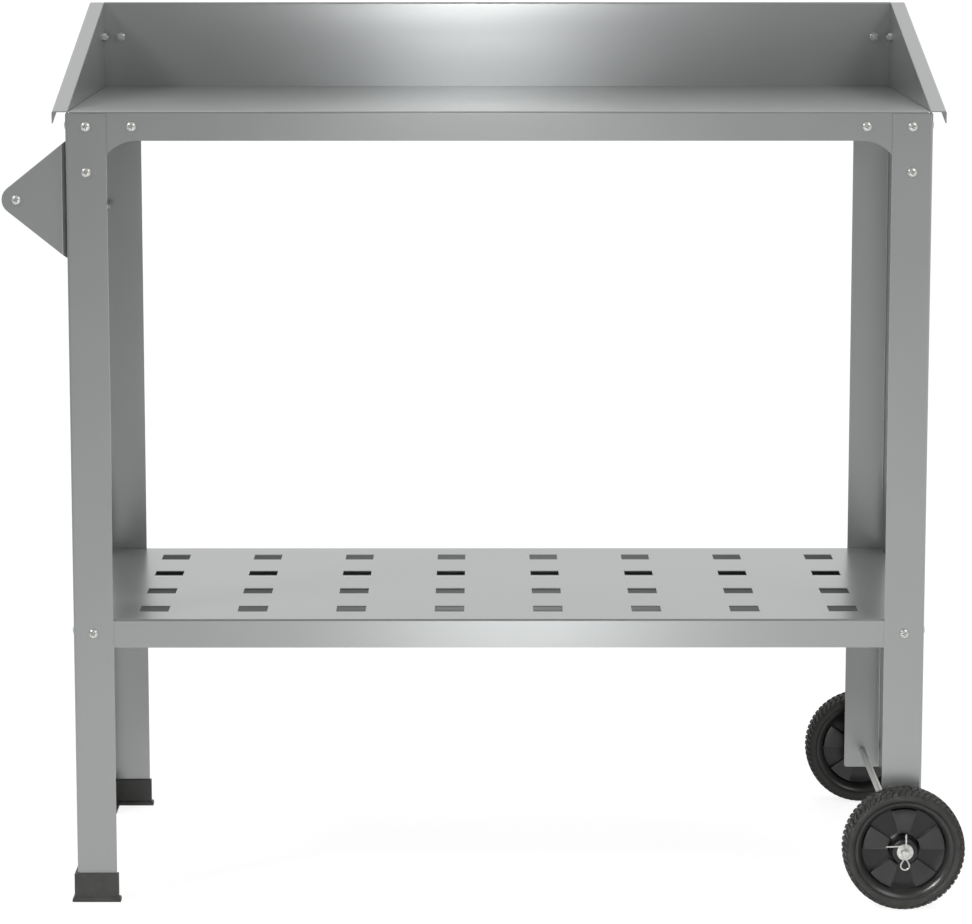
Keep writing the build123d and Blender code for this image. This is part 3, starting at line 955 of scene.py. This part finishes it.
def makeWorld():
    s = studio
    world = bpy.data.worlds.new("studio")
    world.use_nodes = True
    bpy.context.scene.world = world
    tree = world.node_tree
    tree.nodes.clear()
    direction = addNode(tree, "ShaderNodeTexCoord").outputs["Generated"]
    parts = addNode(tree, "ShaderNodeSeparateXYZ", links={0: direction})
    left, right = s["leftToRight"]
    sideways = addNode(tree, "ShaderNodeMapRange",
                       {"From Min": left, "From Max": right, "To Min": s["frontLeft"], "To Max": s["frontRight"]},
                       {"Value": parts.outputs["X"]})
    front, behind = s["frontToBack"]
    back = addNode(tree, "ShaderNodeMapRange",
                   {"interpolation_type": "SMOOTHSTEP", "From Min": front, "From Max": behind},
                   {"Value": parts.outputs["Y"]})
    around = addNode(tree, "ShaderNodeMix", {"data_type": "FLOAT", 3: s["behind"]},
                     {0: back.outputs[0], 2: sideways.outputs[0]})
    path = addNode(tree, "ShaderNodeLightPath")
    level = addNode(tree, "ShaderNodeMix", {"data_type": "FLOAT", 3: 1.0},
                    {0: path.outputs["Is Camera Ray"], 2: around.outputs[0]})
    light = addNode(tree, "ShaderNodeBackground", {"Color": grey(1.0)}, {"Strength": level.outputs[0]})
    addNode(tree, "ShaderNodeOutputWorld", links={"Surface": light.outputs[0]})


# Lamps: four small ones give the bright patches on backboard, shelf edge, apron and wheel, two wide ones
# from the right and the left model the rest
lamps = {
    "boardLamp": {"place": (-0.015, -0.8, 0.99), "target": (0.0, 0.2, 1.06),
                  "size": 0.2, "power": 0.16, "spread": 42},
    "shelfLamp": {"place": (0.05, -1.5, 0.045), "target": (0.0, -0.2, 0.3),
                  "size": 0.25, "power": 1.3, "spread": 180},
    "keyLamp": {"place": (2.2, -2.6, 2.8), "target": (0.0, 0.0, 0.4),
                "size": 1.6, "power": 40.0, "spread": 180},
    "sideLamp": {"place": (-2.0, -1.5, 2.2), "target": (0.2, 0.0, 0.3),
                 "size": 0.6, "power": 25.0, "spread": 180},
    "wheelLamp": {"place": (-0.14, -0.65, 0.62), "target": (0.43, -0.24, 0.05),
                  "size": 0.1, "power": 0.07, "spread": 20},
    "apronLamp": {"place": (0.0, -1.5, 0.6), "target": (0.0, -0.2, 0.79),
                  "size": 0.4, "power": 0.5, "spread": 180},
}


def makeLamps():
    for name, s in lamps.items():
        bpy.ops.object.light_add(type="AREA", location=s["place"])
        lamp = bpy.context.object
        lamp.name = name
        lamp.data.size = s["size"]
        lamp.data.energy = s["power"]
        lamp.data.spread = radians(s["spread"])
        lamp.visible_camera = False
        aim = Vector(s["target"]) - Vector(s["place"])
        lamp.rotation_euler = aim.to_track_quat("-Z", "Y").to_euler()


# Camera: a long lens about four metres in front of the table, above the height of the backboard
view = {
    "place": (-0.0082, -4.028, 1.0651),
    "downTilt": 9.113,
    "turnRight": 0.104,
    "focalPixels": 3888.9,
    "imageWidth": 972,
    "sensor": 36.0,
    "farthest": 100,
}


def makeCamera():
    s = view
    aim = (radians(90 - s["downTilt"]), 0, radians(-s["turnRight"]))
    bpy.ops.object.camera_add(location=s["place"], rotation=aim)
    camera = bpy.context.object
    camera.data.sensor_width = s["sensor"]
    camera.data.lens = s["focalPixels"] / s["imageWidth"] * s["sensor"]
    camera.data.clip_end = s["farthest"]
    bpy.context.scene.camera = camera


makeFloor()
makeWorld()
makeLamps()
makeCamera()
bpy.context.scene.view_settings.view_transform = "Standard"
print("floor, light and camera in place")
